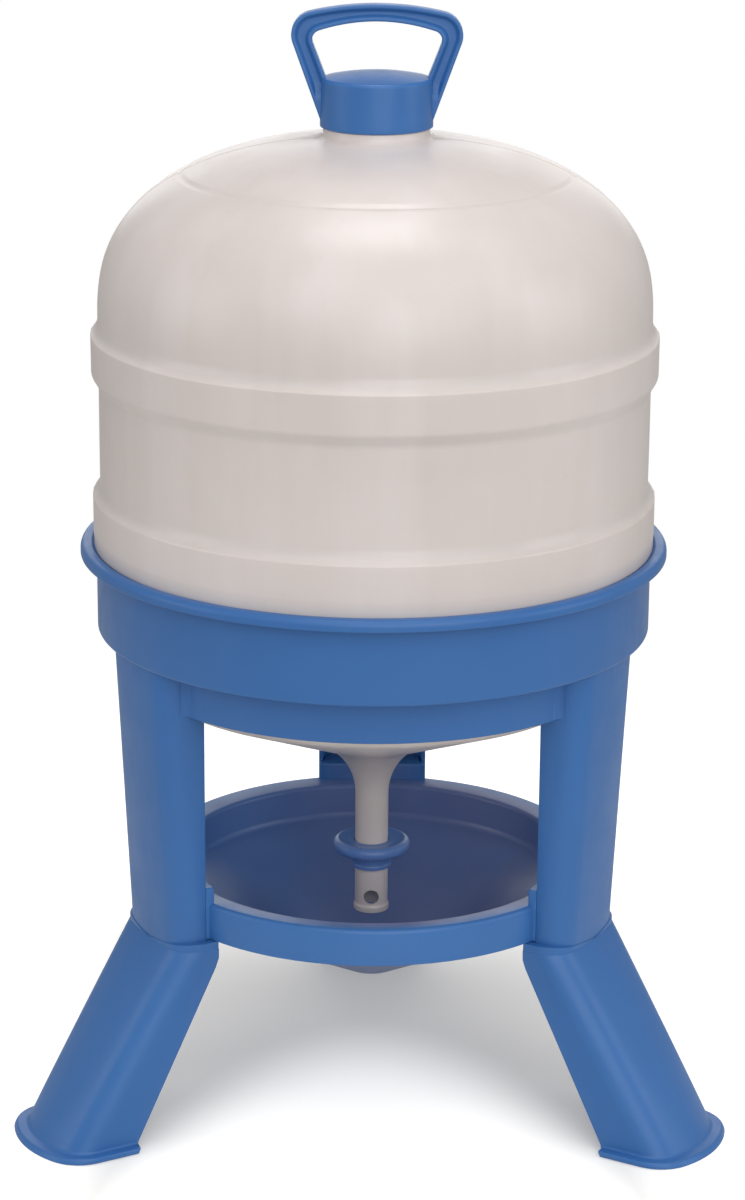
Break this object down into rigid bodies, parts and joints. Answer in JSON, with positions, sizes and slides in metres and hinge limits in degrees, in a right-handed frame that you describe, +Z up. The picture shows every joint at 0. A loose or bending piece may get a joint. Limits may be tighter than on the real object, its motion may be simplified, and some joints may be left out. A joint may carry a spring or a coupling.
{
  "type": "poultry drinker",
  "caption": "Free-standing poultry drinker: a domed siphon tank with a handled screw cap sits in a ring on splayed legs, above a round drinking trough.",
  "frame": {"origin": "middle of the model's outline on the floor; the tank's vertical axis stands 34.25 mm in front of it, at Y = -0.03425", "axes": "+Z up along the tank's axis; -Y towards the front, where the outlet hole faces, between two legs; +Y along the back leg; +X to the right"},
  "size_m": [0.4708, 0.4527, 0.7259],
  "materials": {
    "tank_plastic": "translucent off-white polyethylene, satin",
    "blue_plastic": "mid blue moulded polypropylene, satin gloss",
    "shutoff_plastic": "mid blue moulded plastic, satin gloss",
    "gasket_rubber": "matte black rubber"
  },
  "bodies": {
    "feet": {"foot_left": "blue_plastic", "foot_right": "blue_plastic", "foot_back": "blue_plastic"},
    "trough": {"trough": "blue_plastic"},
    "stand": {"stand": "blue_plastic"},
    "tank": {"tank": "tank_plastic"},
    "shutoff": {"shutoff_ring": "shutoff_plastic"},
    "gasket": {"cap_gasket": "gasket_rubber"},
    "cap": {"cap": "blue_plastic"}
  },
  "joints": [
    {"name": "trough_lift", "type": "slide", "parent": "feet", "child": "trough", "axis": [0, 0, 1], "range_m": [0, 0.05]},
    {"name": "stand_lift", "type": "slide", "parent": "trough", "child": "stand", "axis": [0, 0, 1], "range_m": [0, 0.05]},
    {"name": "tank_lift", "type": "slide", "parent": "stand", "child": "tank", "axis": [0, 0, 1], "range_m": [0, 0.28]},
    {"name": "shutoff_slide", "type": "slide", "parent": "tank", "child": "shutoff", "axis": [0, 0, 1], "range_m": [-0.0256, 0]},
    {"name": "cap_rise", "type": "slide", "parent": "tank", "child": "gasket", "axis": [0, 0, 1], "range_m": [0, 0.0256]},
    {"name": "cap_turn", "type": "hinge", "parent": "gasket", "child": "cap", "pos_m": [0, -0.03425, 0.6501], "axis": [0, 0, 1], "range_deg": [0, 1530]}
  ],
  "couplings": [
    {"joint": "cap_rise", "follows": "cap_turn", "m_per_rad": 0.00095493}
  ]
}
